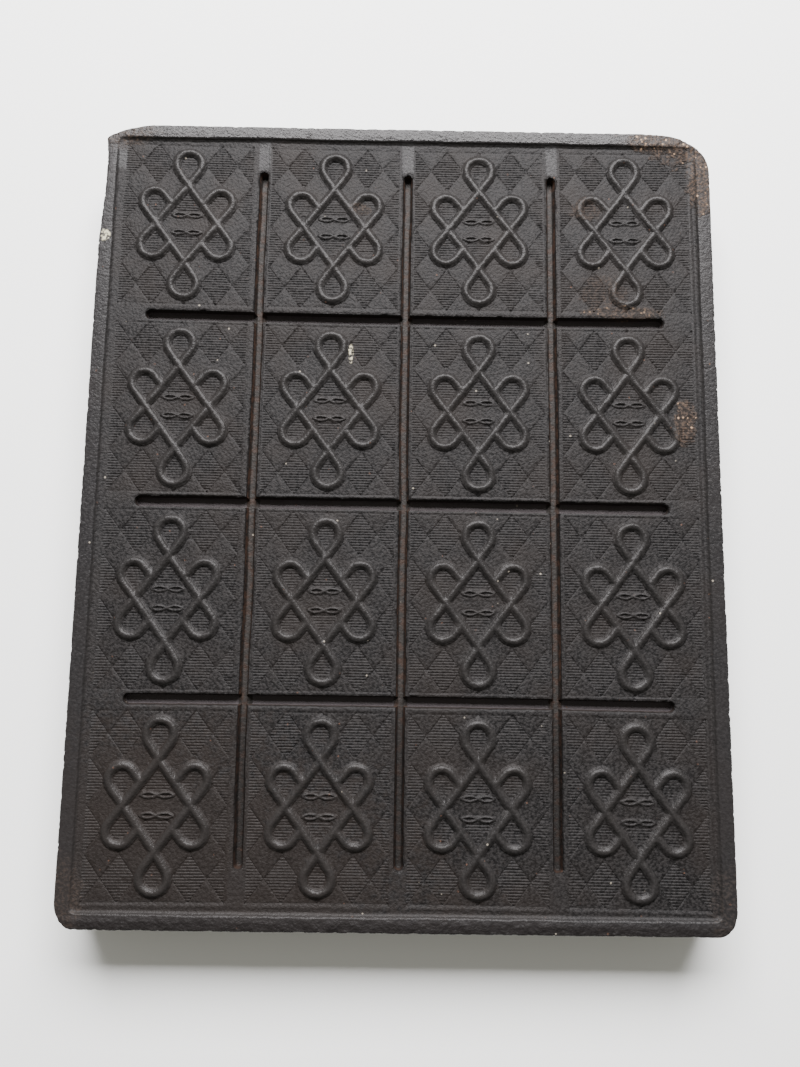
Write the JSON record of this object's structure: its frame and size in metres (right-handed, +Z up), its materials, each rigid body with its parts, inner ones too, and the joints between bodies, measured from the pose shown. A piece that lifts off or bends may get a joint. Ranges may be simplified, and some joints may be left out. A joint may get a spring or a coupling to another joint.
{
  "type": "tea brick",
  "caption": "Flat pressed black tea brick with a raised rim, crossing score slots and a looped cord knot in relief on every tablet.",
  "frame": {"origin": "middle of the flat underside", "axes": "+Z up through the thickness, +Y along the length towards the worn wide-cornered end, +X across the width"},
  "size_m": [0.187, 0.237, 0.021],
  "materials": {
    "pressed_tea": "matte charcoal-black pressed tea dust with a faint grey sheen, browner where it is worn"
  },
  "bodies": {
    "root": {"tea_brick": "pressed_tea"}
  },
  "joints": []
}
